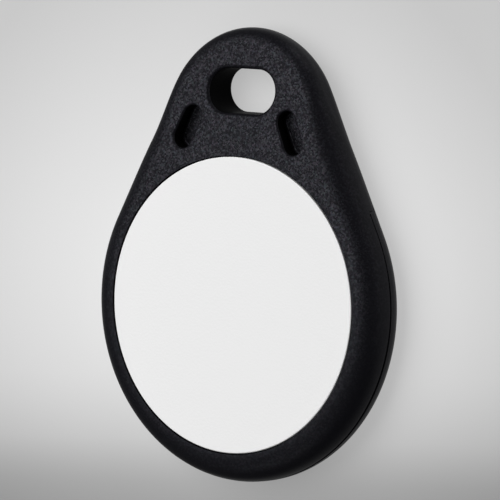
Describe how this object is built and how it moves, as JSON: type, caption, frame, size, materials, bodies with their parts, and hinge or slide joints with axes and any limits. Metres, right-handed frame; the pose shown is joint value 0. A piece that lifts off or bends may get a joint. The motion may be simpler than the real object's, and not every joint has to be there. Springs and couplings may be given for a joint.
{
  "type": "contactless key fob",
  "caption": "Flat teardrop key fob with a round disc set flush in its face, a slot for a key ring in its narrow end, a round back cover and a wound coil with a chip module inside.",
  "frame": {"origin": "on the axis of the round bowl, in the plane of the back face that the fob rests on", "axes": "+Y from the bowl to the key-ring slot, +Z out of the face with the round disc, +X to the right when the face is seen with the slot up"},
  "size_m": [0.036, 0.046, 0.005],
  "materials": {
    "black_plastic": "black, fine spark-eroded grain",
    "white_plastic": "plain matt white",
    "adhesive": "translucent double-sided tape",
    "carrier_film": "smooth white film",
    "enamelled_copper": "copper wire under clear enamel",
    "module": "black moulded cap on a tinned lead frame"
  },
  "bodies": {
    "root": {"front_shell": "black_plastic", "back_cover": "black_plastic", "front_disc": "white_plastic", "disc_tape": "adhesive", "inlay_carrier": "carrier_film", "antenna_coil": "enamelled_copper", "chip_module": "module"}
  },
  "joints": []
}
